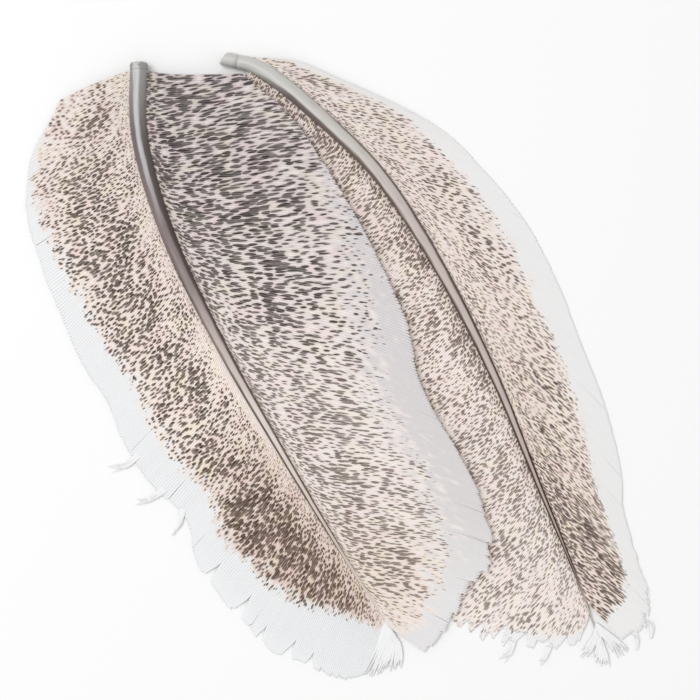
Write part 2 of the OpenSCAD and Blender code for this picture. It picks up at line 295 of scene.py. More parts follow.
def surface_through(grid, place, reach):
    """Smooth surface through a grid of points; place and reach count in its rows and columns."""
    rows, row_weights = blend_weights(place, grid.shape[0])
    columns, column_weights = blend_weights(reach, grid.shape[1])
    wide = padded(padded(grid), axis=1)
    total = 0
    for i, across in enumerate(row_weights):
        for j, along in enumerate(column_weights):
            total = total + (across * along)[..., None] * wide[rows + i, columns + j]
    return total


def wander(place, spacing, seed):
    """Smooth random wave between about -1 and 1 with a turn every spacing or so."""
    rng = np.random.default_rng(seed)
    place = np.asarray(place, float) / spacing
    knots = rng.uniform(-1, 1, int(np.max(place)) + 4)
    return curve_through(knots[:, None], place + 1)[..., 0]


# ---- Meshes ----

def make_piece(name, points, faces, fields, material, body, node, slot):
    """A mesh piece from points in millimetres, with its fields as vertex attributes."""
    mesh = bpy.data.meshes.new(name)
    mesh.from_pydata((points * MM).tolist(), [], faces)
    for title, values in fields.items():
        attribute = mesh.attributes.new(title, "FLOAT_VECTOR", "POINT")
        attribute.data.foreach_set("vector", values.astype(np.float32).ravel())
    mesh.polygons.foreach_set("use_smooth", [True] * len(mesh.polygons))
    mesh.materials.append(material)
    piece = bpy.data.objects.new(name, mesh)
    bpy.context.scene.collection.objects.link(piece)
    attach(piece, body)
    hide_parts(node)
    return piece


def make_sheet(name, points, faces, fields, *details):
    """A thin solid sheet from strips of four-sided faces, joined where their points meet."""
    points = points.reshape(-1, 3)
    _, kept, number = np.unique(np.round(points, 4), axis=0, return_index=True, return_inverse=True)
    faces = number.ravel()[faces]
    faces = faces[[len(set(face)) == len(face) for face in faces.tolist()]]
    points = points[kept]
    corners = points[faces]
    upward = np.cross(corners[:, 2] - corners[:, 0], corners[:, 3] - corners[:, 1])[:, 2].mean()
    if upward < 0:
        faces = faces[:, ::-1]
    fields = {title: values.reshape(-1, 3)[kept] for title, values in fields.items()}
    piece = make_piece(name, points, faces.tolist(), fields, *details)
    solid = piece.modifiers.new("thickness", "SOLIDIFY")
    solid.thickness = SHEET_THICKNESS * MM
    solid.offset = -1


def strip_faces(strips, rows, columns):
    """Four-sided faces of several strips whose points are listed strip by strip and row by row."""
    strip, row, column = np.meshgrid(
        np.arange(strips), np.arange(rows - 1), np.arange(columns - 1), indexing="ij")
    corner = ((strip * rows + row) * columns + column).ravel()
    return np.stack([corner, corner + 1, corner + columns + 1, corner + columns], axis=1)


def tube_faces(rings, sides):
    """Four-sided faces round a tube whose points are listed ring by ring."""
    ring, side = np.meshgrid(np.arange(rings - 1), np.arange(sides), indexing="ij")
    a = (ring * sides + side).ravel()
    b = (ring * sides + (side + 1) % sides).ravel()
    return np.stack([a, b, b + sides, a + sides], axis=1)


# ---- Shader building ----

def tone(red, green, blue):
    """Linear colour from screen values between 0 and 255."""
    def linear(value):
        value = value / 255
        return value / 12.92 if value <= 0.04045 else ((value + 0.055) / 1.055) ** 2.4
    return (linear(red), linear(green), linear(blue), 1.0)


class Shader:
    """A material whose nodes are added by short calls."""

    def __init__(self, name, roughness, **fixed):
        self.material = bpy.data.materials.new(name)
        self.material.use_nodes = True
        self.tree = self.material.node_tree
        self.surface = self.tree.nodes["Principled BSDF"]
        self.surface.inputs["Roughness"].default_value = roughness
        for socket, value in fixed.items():
            self.surface.inputs[socket.replace("_", " ")].default_value = value

    def add(self, kind, *values, **settings):
        """A node with its first sockets set or linked in order."""
        node = self.tree.nodes.new("ShaderNode" + kind)
        for key, value in settings.items():
            setattr(node, key, value)
        for socket, value in zip(node.inputs, values):
            self.put(socket, value)
        return node

    def put(self, socket, value):
        """Links a socket to another node's output, or sets it."""
        if isinstance(value, bpy.types.NodeSocket):
            self.tree.links.new(value, socket)
        elif value is not None:
            socket.default_value = value

    def field(self, title):
        """The three parts of a vertex attribute."""
        source = self.add("Attribute", attribute_name=title)
        return self.add("SeparateXYZ", source.outputs["Vector"]).outputs

    def maths(self, operation, *values):
        return self.add("Math", *values, operation=operation).outputs[0]

    def times(self, value, factor):
        return self.maths("MULTIPLY", value, factor)

    def plus(self, *values):
        total = values[0]
        for value in values[1:]:
            total = self.maths("ADD", total, value)
        return total

    def step(self, value, low, high, start=0.0, end=1.0):
        """Smooth rise from start to end as the value goes from low to high."""
        node = self.add("MapRange", value, low, high, start, end, interpolation_type="SMOOTHSTEP")
        return node.outputs[0]

    def noise(self, x, y, z=0.0, detail=0.0):
        """Noise with features about one unit across."""
        place = self.add("CombineXYZ", x, y, z).outputs[0]
        return self.add("TexNoise", place, None, 1.0, detail).outputs[0]

    def chance(self, value):
        """A random share for each whole number."""
        return self.add("TexWhiteNoise", None, value, noise_dimensions="1D").outputs[0]

    def ramp(self, value, stops):
        """A colour that changes with a value. The stops are places with screen colours, or with shares."""
        node = self.add("ValToRGB", value)
        elements = node.color_ramp.elements
        elements.remove(elements[1])
        for count, (place, colour) in enumerate(stops):
            element = elements.new(place) if count else elements[0]
            element.position = place
            element.color = tone(*colour) if isinstance(colour, tuple) else (colour, colour, colour, 1)
        return node.outputs[0]

    def mix(self, share, first, second):
        """Blend of two colours."""
        node = self.tree.nodes.new("ShaderNodeMix")
        node.data_type = "RGBA"
        self.put(node.inputs[0], share)
        self.put(node.inputs[6], first)
        self.put(node.inputs[7], second)
        return node.outputs[2]

    def colour(self, value):
        self.put(self.surface.inputs["Base Color"], value)

    def roughness(self, value):
        self.put(self.surface.inputs["Roughness"], value)

    def bump(self, height, strength, distance):
        node = self.add("Bump")
        node.inputs["Strength"].default_value = strength
        node.inputs["Distance"].default_value = distance * MM
        self.put(node.inputs["Height"], height)
        self.put(self.surface.inputs["Normal"], node.outputs[0])


def spot_pattern(shader, number, along, chance, across_gap, along_gap, lean):
    """Unevenly scattered spots: the distance from the nearest one's centre, and a random share for each."""
    line = shader.plus(number, shader.times(along, lean))
    sway = shader.noise(shader.times(number, 0.09), shader.times(along, 0.12), 11.0)
    place = shader.plus(along, shader.times(sway, 3.0), shader.times(chance, 0.3))
    spot = shader.add("CombineXYZ", shader.times(line, 1 / across_gap), shader.times(place, 1 / along_gap))
    cells = shader.add("TexVoronoi", spot.outputs[0], None, 1.0, voronoi_dimensions="2D")
    rough = shader.noise(shader.times(line, 0.9), shader.times(along, 1.4 / along_gap), 5.0)
    patches = shader.noise(shader.times(number, 0.11), shader.times(along, 0.13), 7.0)
    uneven = shader.plus(shader.times(rough, 0.5), shader.times(patches, 0.5), -0.5)
    return shader.maths("SUBTRACT", cells.outputs[0], uneven), cells.outputs[1]


def spot_masks(shader, number, along, chance, grain, coverage):
    """How strongly the spots cover each place, and how pale the ground is between them."""
    # A spot reaches as far from its centre as its share of the ground asks for
    distance, strength = spot_pattern(shader, number, along, chance, *grain)
    lack = shader.maths("MAXIMUM", shader.maths("SUBTRACT", SPARSE_SHARE, coverage), 0.0)
    growth = shader.times(coverage, SPOT_GROWTH)
    radius = shader.plus(growth, shader.times(lack, -SPARSE_LOSS), SMALLEST_SPOT)
    above = shader.maths("SUBTRACT", radius, distance)
    covered = shader.step(above, *SPOT_FADE)
    mask = shader.times(covered, shader.step(strength, 0.0, 1.0, WEAKEST_SPOT, 1.0))
    return mask, shader.step(above, -0.6, -0.12, GROUND_PALENESS, 0.0)


def add_barbules(shader, number, along):
    """Fine cross-hatching along every barb, in the bump and the roughness."""
    hatch = shader.noise(shader.times(number, 6.0), shader.times(along, 9.0))
    shader.bump(hatch, 0.3, 0.05)
    shader.roughness(shader.step(hatch, 0.3, 0.7, 0.5, 0.75))


def vane_material(name, grain, ground, shaded, plain, flecks, shaded_flecks):
    """Barbs with spots and dashes along them. grain is the gap between spots, in barbs and in millimetres
    along them, and how many barbs nearer the base a dash comes in each millimetre. The colours are ramps
    from the feather's base to its tip. The field paint holds the flecked share of the ground, how plain it
    is and how near the shaft's shade."""
    shader = Shader(name, 0.62, Sheen_Weight=0.12, Sheen_Roughness=0.4, Specular_IOR_Level=0.3)
    number, along, share = shader.field("barb")
    density, border, shade = shader.field("paint")
    chance = shader.chance(shader.maths("FLOOR", shader.plus(number, 0.5)))
    # The plain margin has an uneven border, and the flecks thin out before they reach it
    edge_noise = shader.noise(shader.times(number, 0.3), shader.times(along, 0.4), 3.0)
    plain_share = shader.step(shader.plus(border, shader.times(edge_noise, 0.8)), 0.65, 1.15)
    thinning = shader.step(shader.plus(border, shader.times(edge_noise, 0.3)), 0.2, 1.0)
    coverage = shader.times(density, shader.maths("SUBTRACT", 1.0, thinning))
    mask, paleness = spot_masks(shader, number, along, chance, grain, coverage)
    # Ground and fleck colours
    tint = shader.noise(shader.times(number, 0.12), shader.times(along, 0.16), 21.0)
    warmth = shader.ramp(tint, GROUND_TINTS)
    base = shader.mix(shade, shader.ramp(share, ground), shader.ramp(share, shaded))
    base = shader.mix(TINT_SHARE, base, warmth)
    base = shader.mix(paleness, base, tone(*PALE_BARB))
    base = shader.mix(plain_share, base, shader.ramp(share, plain))
    base = shader.mix(shader.times(chance, DUST_SHARE), base, tone(*DUSTY_BARB))
    fleck = shader.mix(shade, shader.ramp(share, flecks), shader.ramp(share, shaded_flecks))
    # Painted highlight: the ridge of each barb is paler than the valleys beside it
    ridge = shader.maths("COSINE", shader.times(number, 2 * math.pi))
    fleck = shader.mix(shader.step(ridge, -1.0, 1.0, 0.0, RIDGE_HIGHLIGHT), fleck, base)
    shader.colour(shader.mix(mask, base, fleck))
    add_barbules(shader, number, along)
    return shader.material


def horn_material(name, middle, left, right, left_start, right_start):
    """Keratin of a shaft, painted darker along its left side, towards -X, and its right side: these sides are
    partly the horn's own brown and partly painted shade, and the middle ramp holds the horn's own colour
    along the shaft with a painted highlight on its top. Each list is a ramp along the shaft. The field horn
    holds the place across it from -1 to 1, the share along it and the height round it."""
    shader = Shader(name, 0.38, Specular_IOR_Level=0.4, Coat_Weight=0.1, Coat_Roughness=0.35)
    across, share, height = shader.field("horn")
    grain = shader.noise(shader.times(across, 3.0), shader.times(share, 26.0), 0.0, 2.0)
    wobble = shader.times(shader.plus(grain, -0.5), 0.35)
    colour = shader.ramp(share, middle)
    # Painted shade: each side darkens towards its edge, over the horn's own colour
    for side, colours, starts in ((-1.0, left, left_start), (1.0, right, right_start)):
        place = shader.plus(shader.times(across, side), wobble)
        beyond = shader.maths("SUBTRACT", place, shader.ramp(share, starts))
        colour = shader.mix(shader.step(beyond, -0.12, 0.16), colour, shader.ramp(share, colours))
    underneath = shader.step(height, -0.1, -0.6)
    colour = shader.mix(underneath, colour, tone(*HORN_BELOW))
    shader.colour(shader.mix(shader.step(grain, 0.5, 0.8, 0.0, 0.25), colour, tone(*HORN_GRAIN)))
    shader.roughness(shader.step(grain, 0.3, 0.7, 0.32, 0.5))
    fine = shader.noise(shader.times(across, 24.0), shader.times(share, 60.0), 5.0)
    shader.bump(fine, 0.2, 0.04)
    return shader.material


def pith_material():
    """Dry white foam inside a shaft."""
    shader = Shader("pith_foam", 0.9)
    place = shader.add("TexCoord").outputs["Object"]
    cells = shader.add("TexVoronoi", place, None, 2500.0).outputs[0]
    # Painted shade: the hollows of the cells are darker than their walls
    shader.colour(shader.mix(shader.step(cells, 0.1, 0.6), tone(*FOAM_HOLLOW_SHADE), tone(*FOAM_WALL)))
    shader.bump(cells, 0.5, 0.1)
    return shader.material


# ---- Vanes ----

class Feather:
    """One feather of the frame, with its shaft's route and its body's name."""

    def __init__(self, name):
        self.name = name
        self.body = f"{name}_feather"
        self.middles, self.radii = shaft_route(name)
        steps = np.linalg.norm(np.diff(self.middles[:, :2], axis=0), axis=1)
        self.stations = np.concatenate([[0], np.cumsum(steps)])
        self.length = self.stations[-1]


class Vane:
    """One side of a feather. Its rails are barb curves that neighbouring CAD locks share."""

    def __init__(self, feather, side, looks):
        seed = VANE_SEEDS[f"{feather.name}_{side}"]
        self.feather = feather
        self.nodes = [f"{feather.name}_{side}_barbs_{group}" for group in GROUPS]
        self.looks = looks
        self.seed = seed
        locks = []
        self.ends = []
        for node in self.nodes:
            locks += sheet_edges(node, feather.middles)
            self.ends.append(len(locks))
        shared = [(one[1] + other[0]) / 2 for one, other in zip(locks, locks[1:])]
        self.rails = np.array([locks[0][0]] + shared + [locks[-1][1]])
        self.stations = np.array([nearest_on(feather.middles, rail[0])[1] for rail in self.rails])
        self.lengths = np.linalg.norm(np.diff(self.rails, axis=1), axis=2).sum(axis=1)
        self.count = round((self.stations[-1] - self.stations[0]) / BARB_PITCH)
        rng = np.random.default_rng(seed)
        # Barbs hang together in locks, whose ends rise towards one side like the teeth of a saw
        numbers = np.arange(self.count)
        saw = (numbers / LOCK_BARBS + wander(numbers, LOCK_DRIFT, seed + 2)) % 1
        drift = wander(numbers, EDGE_DRIFT, seed) * 0.5
        jitter = rng.uniform(-EDGE_JITTER, EDGE_JITTER, self.count)
        self.unevenness = drift + saw - 0.5 + jitter
        places = rng.uniform(0.05, 0.98, HAIRLINES)
        starts = rng.uniform(0.7, 0.9, HAIRLINES)
        widths = rng.uniform(0.05, 0.2, HAIRLINES)
        self.splits = looks["splits"] + list(zip(places, starts, widths))

    def rail_place(self, number):
        """Place among the rails of a barb number."""
        return number / self.count * (len(self.rails) - 1)

    def groups(self):
        """Barb numbers that belong to each CAD node."""
        group = np.digitize(self.rail_place(np.arange(self.count) + 0.5), self.ends[:-1])
        return [np.flatnonzero(group == k) for k in range(len(GROUPS))]

    def pushed(self, barbs, t):
        """How many barb numbers the barbs are pushed aside at share t of their length by nearby splits."""
        total = 0
        for place, start, width in self.splits:
            gap = barbs + 0.5 - round(place * self.count)
            push = np.sign(gap) * width * np.exp(-np.abs(gap) / SPLIT_REACH)
            total = total + push * smoothstep(t, start, 1.02)
        return total

    def field_values(self, number, place, t):
        """Barb numbers, distances along the barbs and shares along the feather; then the paint."""
        rail_numbers = np.arange(len(self.rails))
        along = t * np.interp(place, rail_numbers, self.lengths)
        share = np.interp(place, rail_numbers, self.stations) / self.feather.length
        number = np.broadcast_to(number, place.shape)
        paint = np.stack([value + 0 * place for value in self.looks["paint"](share, t)], axis=-1)
        return {"barb": np.stack([number, along, share], axis=-1), "paint": paint}


def barb_ridges(points, t):
    """Height of each barb's ridge, in proportion to its width at right angles to its length."""
    across = points[..., -1, :] - points[..., 0, :]
    forward = np.gradient(points.mean(axis=2), axis=1)
    forward /= np.linalg.norm(forward, axis=-1)[..., None]
    width = np.linalg.norm(across - np.sum(across * forward, axis=-1)[..., None] * forward, axis=-1)
    return RIDGE_SHARE * width[..., None] * BARB_HEIGHTS * (1 - RIDGE_LOSS * smoothstep(t, *RIDGE_FADE))


def build_vane(vane, material, slot):
    """The barbs of one vane, as one corrugated sheet for each CAD group."""
    looks = vane.looks
    for node, barbs in zip(vane.nodes, vane.groups()):
        k = barbs[:, None, None]
        share = k / vane.count
        uneven = vane.unevenness[barbs][:, None, None]
        reach = 1 + EDGE_REACH - looks["trim"](share) + looks["ragged"](share) * uneven
        free_from = reach - looks["free_length"](share)
        body = np.linspace(0, 1, BODY_ROWS)[None, :, None] * free_from
        tip = free_from + (reach - free_from) * np.linspace(0, 1, TIP_ROWS + 1)[None, 1:, None]
        t = np.concatenate([body, tip], axis=1)
        beyond = np.clip((t - free_from) / (reach - free_from), 0, 1)
        number = k + 0.5 + BARB_COLUMNS * (1 - TIP_NARROWING * beyond ** 2)
        shift = vane.pushed(k, t) + TIP_CURL * uneven * beyond ** 2 - looks["bulge"](share, t)
        place = vane.rail_place(number + shift)
        t = np.broadcast_to(t, place.shape)
        points = surface_through(vane.rails, place, t * (vane.rails.shape[1] - 1))
        wave = WAVE_HEIGHT * wander(number, WAVE_BARBS, vane.seed + 1) * smoothstep(t, 0.1, 0.6)
        points[..., 2] += barb_ridges(points, t) - SHEET_SINK + wave
        fields = vane.field_values(k + BARB_COLUMNS, place, t)
        faces = strip_faces(len(barbs), BODY_ROWS + TIP_ROWS, len(BARB_COLUMNS))
        make_sheet(f"{node}_sheet", points, faces, fields, material, vane.feather.body, node, slot)


# ---- Loose barbs ----

def loose_barb(path, width, curl):
    """Rows of points of one fine barb along a path, which narrows and curls towards its end."""
    t = np.linspace(0, 1, len(path))
    forward = np.gradient(path, axis=0)
    sideways = np.stack([-forward[:, 1], forward[:, 0], np.zeros(len(path))], axis=1)
    sideways /= np.linalg.norm(sideways, axis=1)[:, None]
    centre = path + sideways * (curl * t ** 2)[:, None]
    half = width * (1 - FINE_NARROWING * t ** 2)
    points = centre[:, None, :] + sideways[:, None, :] * (BARB_COLUMNS * half[:, None])[..., None]
    points[..., 2] += RIDGE_SHARE * width * BARB_HEIGHTS
    return points


def build_fan(feather, material):
    """Fine barbs that fill the fan between the strands at a feather's tip."""
    node = f"{feather.name}_tip_barbs"
    rng = np.random.default_rng(FAN_SEED)
    strands = [(one + other) / 2 for one, other in sheet_edges(node, feather.middles)]
    centre = np.mean([strand[0] for strand in strands], axis=0)
    rails = np.array(sorted(strands, key=lambda strand: math.atan2(*(strand[-1] - centre)[:2])))
    strips = []
    for place in np.linspace(0, len(rails) - 1, FAN_BARBS):
        place = np.clip(place + rng.uniform(-0.2, 0.2), -0.3, len(rails) - 0.7)
        t = np.linspace(0, rng.uniform(0.72, 1.04), FAN_ROWS)
        path = surface_through(rails, np.full(FAN_ROWS, place), t * (rails.shape[1] - 1))
        path[:, 2] += rng.uniform(-0.1, 0.25) * t
        strips.append(loose_barb(path, FAN_WIDTH, rng.uniform(-FAN_CURL, FAN_CURL)))
    finish_strips(feather, node, strips, material)


def build_wisps(feather, material):
    """Each loose strand of a feather, as a tuft of fine barbs that part towards their ends."""
    node = f"{feather.name}_loose_barbs"
    rng = np.random.default_rng(WISP_SEED)
    strips = []
    for one, other in sheet_edges(node, feather.middles):
        for share in np.linspace(0.1, 0.9, WISP_BARBS):
            t = np.linspace(0, rng.uniform(0.6, 1.05), WISP_ROWS)
            rail = one + (other - one) * share
            path = curve_through(rail, t * (len(rail) - 1))
            path[:, 2] += rng.uniform(0, 0.5) * t
            strips.append(loose_barb(path, WISP_WIDTH, rng.uniform(-WISP_CURL, WISP_CURL)))
    finish_strips(feather, node, strips, material)


def finish_strips(feather, node, strips, material):
    """One piece from a list of separate fine barbs."""
    points = np.array(strips)
    along = np.linalg.norm(points - points[:, :1, :1], axis=-1)
    number = np.arange(len(strips))[:, None, None] + BARB_COLUMNS + 0 * along
    fields = {
        "barb": np.stack([number, along, 0 * along + 1], axis=-1),
        "paint": np.stack([0 * along + 0.05, 0 * along + 1, 0 * along], axis=-1),
    }
    faces = strip_faces(*points.shape[:3])
    make_sheet(f"{node}_strands", points, faces, fields, material, feather.body, node, "plain_barbs")


# ---- Shafts ----

def ring_frames(middles):
    """Directions along, across and upwards at each of a row of middle points."""
    forward = np.gradient(middles, axis=0)
    forward /= np.linalg.norm(forward, axis=1)[:, None]
    across = np.stack([-forward[:, 1], forward[:, 0], 0 * forward[:, 0]], axis=1)
    across /= np.linalg.norm(across, axis=1)[:, None]
    return forward, across, np.cross(forward, across)


def build_shaft(feather, material, slot):
    """The rachis: round at the barrel, squarer and grooved below towards its tip, and closed at the tip."""
    place = np.linspace(0, len(feather.middles) - 1, SHAFT_RINGS)
    middles = curve_through(feather.middles, place)
    radii = curve_through(feather.radii[:, None], place)[:, 0]
    share = np.interp(place, np.arange(len(feather.stations)), feather.stations) / feather.length
    forward, across, up = ring_frames(middles)
    angle = 2 * math.pi * np.arange(SHAFT_SIDES) / SHAFT_SIDES
    squareness = 2 + 1.2 * smoothstep(share, 0.05, 0.4)[:, None]
    c, s = np.cos(angle)[None, :], np.sin(angle)[None, :]
    shape = (np.abs(c) ** squareness + np.abs(s) ** squareness) ** (-1 / squareness)
    growth = smoothstep(share, 0.03, 0.25)[:, None]
    groove = GROOVE_DEPTH * np.exp(-((angle - 1.5 * math.pi) / GROOVE_SPREAD) ** 2)[None, :] * growth
    ribs = RIB_HEIGHT * np.cos(angle * RIBS)[None, :] * growth
    size = radii[:, None] * (shape - groove + ribs)
    points = middles[:, None] + (size * c)[..., None] * across[:, None] + (size * s)[..., None] * up[:, None]
    tip = middles[-1] + forward[-1] * radii[-1] * 2
    points = np.concatenate([points.reshape(-1, 3), [tip]])
    last = (SHAFT_RINGS - 1) * SHAFT_SIDES
    cap = [[last + k, last + (k + 1) % SHAFT_SIDES, len(points) - 1] for k in range(SHAFT_SIDES)]
    faces = tube_faces(SHAFT_RINGS, SHAFT_SIDES).tolist() + cap
    field = np.stack(np.broadcast_arrays(c, share[:, None], s), axis=-1).reshape(-1, 3)
    fields = {"horn": np.concatenate([field, [[0, 1, 1]]])}
    node = f"{feather.name}_shaft"
    make_piece(f"{node}_horn", points, faces, fields, material, feather.body, node, slot)


def build_barrel(feather, material, slot):
    """The bare barrel: a hollow tube with a bevelled rim, cut where its CAD solid is cut."""
    node = f"{feather.name}_barrel"
    outwards, radius = mount_of(feather.name)
    start = feather.middles[0]
    up = np.array([0, 0, 1])
    across = np.cross(outwards, up)
    angle = 2 * math.pi * np.arange(BARREL_SIDES) / BARREL_SIDES
    # The cut's slope across the barrel, read from the outer end of the CAD solid
    points, _ = cad_shape(node)
    offset = points - start
    reach = offset @ outwards
    far = offset[(reach > 0.3 * reach.max()) & (np.hypot(offset @ across, offset @ up) > 0.9 * radius)]
    slope, length = np.polyfit(far @ across, far @ outwards, 1)
    bore = radius * BORE_SHARE
    # Radius, extra length and share of the length at each ring, from the shaft round the rim to the bore
    profile = [
        (radius, 0, 0), (radius * 1.02, 0, 0.3), (radius * 1.05, 0, 0.6), (radius * 1.04, -0.8, 1),
        (radius * 1.01, -0.5, 1), (radius * 0.95, -0.25, 1), (radius * 0.86, -0.08, 1),
        (radius * 0.77, 0, 1), (bore, -0.2, 1),
        (bore * 0.98, 0, 0.4), (bore, 0, 0),
    ]
    rings = []
    for size, extra, share in profile:
        side = size * np.cos(angle)
        rough = RIM_ROUGHNESS * np.sin(angle * RIM_WAVES + 1) * (share == 1)
        distance = (slope * side + length) * share + extra + rough
        ring = start + outwards * distance[:, None] + across * side[:, None]
        rings.append(ring + up * (size * np.sin(angle))[:, None])
    faces = tube_faces(len(profile), BARREL_SIDES)
    # The last ring is joined back to the first one
    closing = tube_faces(2, BARREL_SIDES)
    last = (len(profile) - 1) * BARREL_SIDES
    closing = np.where(closing >= BARREL_SIDES, closing - BARREL_SIDES, closing + last)
    field = np.stack([np.cos(angle), 0 * angle, np.sin(angle)], axis=1)
    make_piece(
        f"{node}_horn", np.concatenate(rings), faces.tolist() + closing.tolist(),
        {"horn": np.tile(field, (len(profile), 1))}, material, feather.body, node, slot)


# ---- Paint and wear of each vane ----

def border_ramp(share, t, width, middle, base_rise, tip_fall, fall_start):
    """Rise from 0 to 1 across a plain margin's border of some width. The border lies at middle across the
    vane, base_rise further out at the feather's base, and tip_fall further in at its tip, after a share of
    the length."""
    rise = base_rise * np.maximum(1 - 2 * share, 0) ** 2
    fall = tip_fall * np.maximum((share - fall_start) / (1 - fall_start), 0) ** 2
    border = middle + rise - fall
    return np.clip((t - border) / width + 0.5, 0, 1)


def paint_upper_outer(share, t):
    band = smoothstep(t, 0.2, 0.42) * (1 - smoothstep(t, 0.65, 0.8))
    density = 0.16 + 0.17 * smoothstep(t, 0.05, 0.22) + 0.2 * band + 0.14 * smoothstep(share, 0.58, 0.7)
    density = density * (0.55 + 0.45 * smoothstep(share, 0, 0.14))
    density = density * (1 - 0.85 * smoothstep(share, 0.87, 0.96))
    pale_half = smoothstep(share, 0.38, 0.5) * (1 - smoothstep(share, 0.62, 0.72))
    density = density - 0.15 * pale_half * (1 - smoothstep(t, 0.1, 0.32))
    border = border_ramp(share, t, 0.26, middle=0.76, base_rise=0.26, tip_fall=0.66, fall_start=0.6)
    shade = 1 - smoothstep(t, 0, 0.12)
    return density, border, shade


def paint_upper_inner(share, t):
    middle = smoothstep(t, 0.5, 0.7) * smoothstep(share, 0.1, 0.25)
    density = 0.56 - 0.1 * middle - 0.14 * smoothstep(t, 0.7, 0.9) - 0.13 * smoothstep(share, 0.2, 0.45)
    density = density * (1 - 0.9 * smoothstep(share, 0.85, 0.96))
    border = border_ramp(share, t, 0.5, middle=0.76, base_rise=0.54, tip_fall=0.56, fall_start=0.88)
    shade = 1 - smoothstep(t, 0.02, 0.13)
    return density, border, shade


def paint_lower_outer(share, t):
    density = 0.26 - 0.03 * smoothstep(share, 0.1, 0.3) + 0.07 * smoothstep(share, 0.4, 0.55)
    density = density + 0.05 * smoothstep(t, 0.4, 0.6) * smoothstep(share, 0.1, 0.25)
    density = density + 0.24 * smoothstep(share, 0.62, 0.74) - 0.2 * smoothstep(share, 0.82, 0.93)
    border = border_ramp(share, t, 0.2, middle=0.77, base_rise=0.0, tip_fall=0.42, fall_start=0.75)
    shade = 1 - smoothstep(t, 0, 0.1)
    return density + 0.08 * shade, border, shade


def paint_lower_inner(share, t):
    density = 0.44 - 0.1 * smoothstep(t, 0.16, 0.3) - 0.16 * smoothstep(share, 0.8, 0.92)
    border = border_ramp(share, t, 0.3, middle=1.2, base_rise=0.0, tip_fall=0.6, fall_start=0.5)
    shade = 1 - smoothstep(t, 0.04, 0.16)
    return density + 0.06 * shade * smoothstep(share, 0.1, 0.25), border, shade


def vane_looks(paint, splits=(), corner=0.0, bulge=0.0, fringe=0.025):
    """How one vane is painted and worn. A split is its place along the vane, the share of the barbs' length
    where it starts and its half width in barbs. The corner is the share by which the first barb is
    shortened, the bulge how many barb numbers the first ones bow out towards the barrel, and the fringe how
    unevenly the last ones end."""
    return {
        "paint": paint,
        "splits": list(splits),
        "trim": lambda share: corner * (1 - smoothstep(share, 0, 0.03) - 1.3 * hump(share, 0.035, 0.022)),
        "bulge": lambda share, t: bulge * (1 - smoothstep(share, 0, 0.12)) * np.sin(math.pi * t ** 0.8),
        "free_length": lambda share: 0.02 + (fringe + 0.01) * smoothstep(share, 0.7, 1),
        "ragged": lambda share: 0.006 + fringe * smoothstep(share, 0.55, 0.9),
    }


# ---- Stage ----

def add_floor():
    mesh = bpy.data.meshes.new("floor")
    half = FLOOR_HALF
    corners = [(-half, -half, 0), (half, -half, 0), (half, half, 0), (-half, half, 0)]
    mesh.from_pydata(corners, [], [(0, 1, 2, 3)])
    floor = bpy.data.objects.new("floor", mesh)
    bpy.context.scene.collection.objects.link(floor)
    shader = Shader("pale_floor", 0.9, Specular_IOR_Level=0.1)
    shader.colour((FLOOR_GREY, FLOOR_GREY, FLOOR_GREY, 1))
    mesh.materials.append(shader.material)


def add_light(name, place, size, power):
    light = bpy.data.lights.new(name, "AREA")
    light.shape = "DISK"
    light.size = size
    light.energy = power
    lamp = bpy.data.objects.new(name, light)
    lamp.location = place
    away = -np.array(place)
    pitch = math.atan2(math.hypot(away[0], away[1]), -away[2])
    lamp.rotation_euler = (pitch, 0, math.atan2(-away[0], away[1]))
    bpy.context.scene.collection.objects.link(lamp)


def add_world(strength):
    world = bpy.data.worlds.new("soft_room")
    world.use_nodes = True
    background = world.node_tree.nodes["Background"]
    background.inputs["Color"].default_value = (1, 1, 1, 1)
    background.inputs["Strength"].default_value = strength
    bpy.context.scene.world = world


def add_camera():
    data = bpy.data.cameras.new("camera")
    data.lens = LENS
    data.sensor_width = SENSOR
    camera = bpy.data.objects.new("camera", data)
    height = VIEW_WIDTH * LENS / SENSOR
    camera.location = (VIEW_CENTRE[0] * MM, VIEW_CENTRE[1] * MM, height * MM)
    camera.rotation_euler = (0, 0, math.radians(VIEW_TURN))
    bpy.context.scene.collection.objects.link(camera)
    bpy.context.scene.camera = camera


# ---- The two feathers ----

# The ramps below were tuned against average colours measured on the photo and on renders.

def upper_outer_material():
    return vane_material(
        "upper_outer_barbs", (1.3, 1.5, 0.4),
        ground=[
            (0, (222, 209, 201)), (0.12, (228, 213, 204)), (0.3, (237, 221, 211)), (0.5, (244, 230, 218)),
            (0.65, (220, 198, 183)), (0.87, (215, 192, 177)), (1, (226, 210, 200)),
        ],
        shaded=[(0, (214, 204, 198)), (0.3, (222, 207, 199)), (0.6, (232, 218, 208)), (1, (218, 198, 184))],
        plain=[(0, (230, 229, 229)), (0.1, (236, 237, 238)), (1, (236, 237, 238))],
        flecks=[
            (0, (104, 82, 70)), (0.15, (50, 31, 22)), (0.5, (56, 35, 24)), (0.68, (66, 42, 30)),
            (0.87, (86, 58, 44)), (1, (118, 94, 80)),
        ],
        shaded_flecks=[
            (0, (140, 122, 112)), (0.3, (110, 90, 80)), (0.5, (150, 134, 124)), (1, (110, 90, 76)),
        ])


